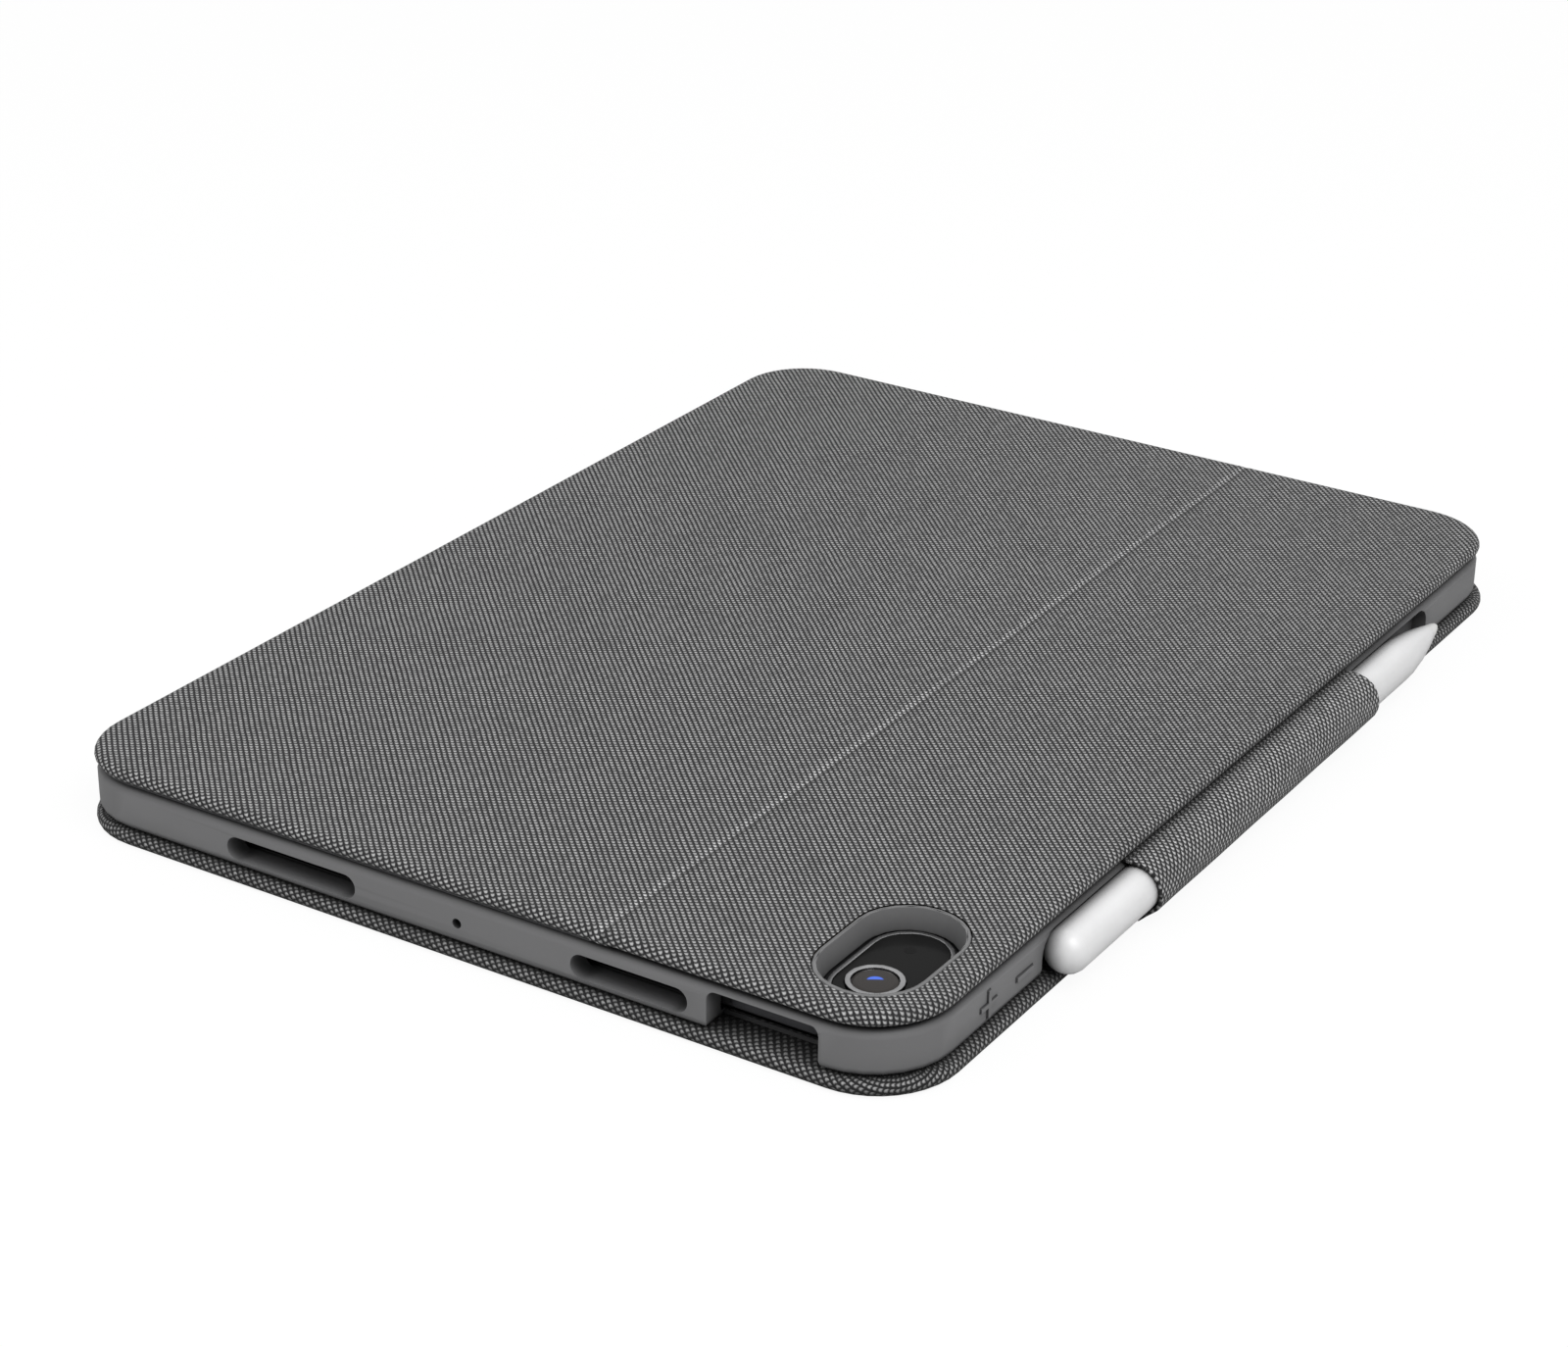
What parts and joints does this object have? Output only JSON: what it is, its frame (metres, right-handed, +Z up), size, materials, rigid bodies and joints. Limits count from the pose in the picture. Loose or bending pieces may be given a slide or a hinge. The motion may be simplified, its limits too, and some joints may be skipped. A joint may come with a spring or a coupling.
{
  "type": "tablet keyboard case",
  "caption": "Fabric-covered folding tablet case with a keyboard cover, creased back kickstand, moulded tablet holder and a latch strap that holds a stylus.",
  "frame": {"origin": "on the underside of the keyboard cover, under the middle of the tablet, with the case closed", "axes": "+Z up through the closed case, +X along the long side away from the tablet's camera end, +Y to the spine, -Y to the stylus and latch"},
  "size_m": [0.2596, 0.1967, 0.0155],
  "materials": {
    "grey_weave": "two-tone grey woven fabric",
    "back_weave": "two-tone grey woven fabric",
    "kickstand_weave": "two-tone grey woven fabric",
    "spine_weave": "two-tone grey woven fabric",
    "crease_weave": "two-tone grey woven fabric",
    "strap_weave": "two-tone grey woven fabric",
    "latch_weave": "two-tone grey woven fabric",
    "lining_microfibre": "brushed microfibre",
    "base_steel": "plain",
    "membrane_film": "printed film",
    "magnet_nickel": "nickel plated",
    "ribbon_amber": "flat cable film",
    "board_green": "circuit board",
    "switch_steel": "plain",
    "key_plastic": "fine texture",
    "deck_plastic": "soft touch",
    "trackpad_glass": "satin",
    "frame_grey": "satin moulded elastomer",
    "button_grey": "satin moulded elastomer",
    "tablet_button_grey": "dark anodised",
    "contact_plastic": "moulded",
    "contact_gold": "gold plated",
    "panel_board": "stiff fibreboard",
    "kickstand_core": "stiff fibreboard",
    "bezel_grey": "satin",
    "tablet_aluminium": "bead blasted, grey anodised",
    "tablet_screen_glass": "black cover glass, switched off",
    "camera_metal": "polished edge",
    "camera_black": "black cover glass",
    "lens_glass": "coated lens",
    "stylus_white": "satin white",
    "stylus_tip_white": "white"
  },
  "bodies": {
    "keyboard_cover": {"cover_shell": "grey_weave", "base_plate": "base_steel", "membrane_sheet": "membrane_film", "controller_board": "board_green", "trackpad_switch": "switch_steel", "cover_magnet_left": "magnet_nickel", "cover_magnet_right": "magnet_nickel", "ribbon_cover": "ribbon_amber", "keyboard_deck": "deck_plastic"},
    "spine": {"spine_strip": "spine_weave", "ribbon_spine": "ribbon_amber"},
    "holder": {"holder_frame": "frame_grey", "back_board": "panel_board", "back_fabric": "back_weave", "crease_strip": "crease_weave", "camera_bezel": "bezel_grey", "contact_block": "contact_plastic", "ribbon_holder": "ribbon_amber", "latch_anchor": "latch_weave", "tablet_body": "tablet_aluminium", "tablet_screen": "tablet_screen_glass", "camera_plate": "camera_metal", "camera_window": "camera_black", "lens_ring": "camera_metal", "camera_lens": "lens_glass", "stylus_body": "stylus_white", "stylus_tip": "stylus_tip_white"},
    "kickstand": {"kickstand_board": "kickstand_core", "kickstand_lining": "lining_microfibre", "kickstand_fabric": "kickstand_weave"},
    "latch": {"latch_strap": "strap_weave"},
    "volume_up": {"volume_up_button": "button_grey"},
    "volume_down": {"volume_down_button": "button_grey"},
    "power": {"tablet_power_button": "tablet_button_grey"},
    "contact_left": {"contact_pin_left": "contact_gold"},
    "contact_middle": {"contact_pin_middle": "contact_gold"},
    "contact_right": {"contact_pin_right": "contact_gold"},
    "press_keys_function": {"keys_function": "key_plastic"},
    "press_keys_number": {"keys_number": "key_plastic"},
    "press_keys_upper": {"keys_upper": "key_plastic"},
    "press_keys_home": {"keys_home": "key_plastic"},
    "press_keys_lower": {"keys_lower": "key_plastic"},
    "press_keys_bottom_left": {"keys_bottom_left": "key_plastic"},
    "press_keys_bottom_right": {"keys_bottom_right": "key_plastic"},
    "press_keys_arrow": {"keys_arrow": "key_plastic"},
    "press_space_bar": {"space_bar": "key_plastic"},
    "press_trackpad": {"trackpad_plate": "trackpad_glass"}
  },
  "joints": [
    {"name": "cover_fold", "type": "hinge", "parent": "keyboard_cover", "child": "spine", "pos_m": [0, 0.09485, 0.0017], "axis": [1, 0, 0], "range_deg": [-176, 0]},
    {"name": "holder_fold", "type": "hinge", "parent": "spine", "child": "holder", "pos_m": [0, 0.09485, 0.0102], "axis": [1, 0, 0], "range_deg": [-176, 0]},
    {"name": "kickstand_swing", "type": "hinge", "parent": "holder", "child": "kickstand", "pos_m": [0, -0.0317, 0.015], "axis": [1, 0, 0], "range_deg": [0, 125]},
    {"name": "latch_swing", "type": "hinge", "parent": "holder", "child": "latch", "pos_m": [-0.0018, -0.0941, 0.0124], "axis": [-1, 0, 0], "range_deg": [0, 80]},
    {"name": "power_press", "type": "slide", "parent": "holder", "child": "power", "axis": [1, 0, 0], "range_m": [0, 0.0003]},
    {"name": "volume_up_press", "type": "slide", "parent": "holder", "child": "volume_up", "axis": [0, 1, 0], "range_m": [0, 0.0004]},
    {"name": "volume_down_press", "type": "slide", "parent": "holder", "child": "volume_down", "axis": [0, 1, 0], "range_m": [0, 0.0004]},
    {"name": "pin_left_press", "type": "slide", "parent": "holder", "child": "contact_left", "axis": [0, 0, 1], "range_m": [0, 0.0003]},
    {"name": "pin_middle_press", "type": "slide", "parent": "holder", "child": "contact_middle", "axis": [0, 0, 1], "range_m": [0, 0.0003]},
    {"name": "pin_right_press", "type": "slide", "parent": "holder", "child": "contact_right", "axis": [0, 0, 1], "range_m": [0, 0.0003]},
    {"name": "press_keys_function", "type": "slide", "parent": "keyboard_cover", "child": "press_keys_function", "axis": [0, 0, -1], "range_m": [0, 0.0007]},
    {"name": "press_keys_number", "type": "slide", "parent": "keyboard_cover", "child": "press_keys_number", "axis": [0, 0, -1], "range_m": [0, 0.0007]},
    {"name": "press_keys_upper", "type": "slide", "parent": "keyboard_cover", "child": "press_keys_upper", "axis": [0, 0, -1], "range_m": [0, 0.0007]},
    {"name": "press_keys_home", "type": "slide", "parent": "keyboard_cover", "child": "press_keys_home", "axis": [0, 0, -1], "range_m": [0, 0.0007]},
    {"name": "press_keys_lower", "type": "slide", "parent": "keyboard_cover", "child": "press_keys_lower", "axis": [0, 0, -1], "range_m": [0, 0.0007]},
    {"name": "press_keys_bottom_left", "type": "slide", "parent": "keyboard_cover", "child": "press_keys_bottom_left", "axis": [0, 0, -1], "range_m": [0, 0.0007]},
    {"name": "press_keys_bottom_right", "type": "slide", "parent": "keyboard_cover", "child": "press_keys_bottom_right", "axis": [0, 0, -1], "range_m": [0, 0.0007]},
    {"name": "press_keys_arrow", "type": "slide", "parent": "keyboard_cover", "child": "press_keys_arrow", "axis": [0, 0, -1], "range_m": [0, 0.0007]},
    {"name": "press_space_bar", "type": "slide", "parent": "keyboard_cover", "child": "press_space_bar", "axis": [0, 0, -1], "range_m": [0, 0.0007]},
    {"name": "press_trackpad", "type": "slide", "parent": "keyboard_cover", "child": "press_trackpad", "axis": [0, 0, -1], "range_m": [0, 0.0003]}
  ],
  "couplings": [
    {"joint": "holder_fold", "follows": "cover_fold", "ratio": 1}
  ]
}
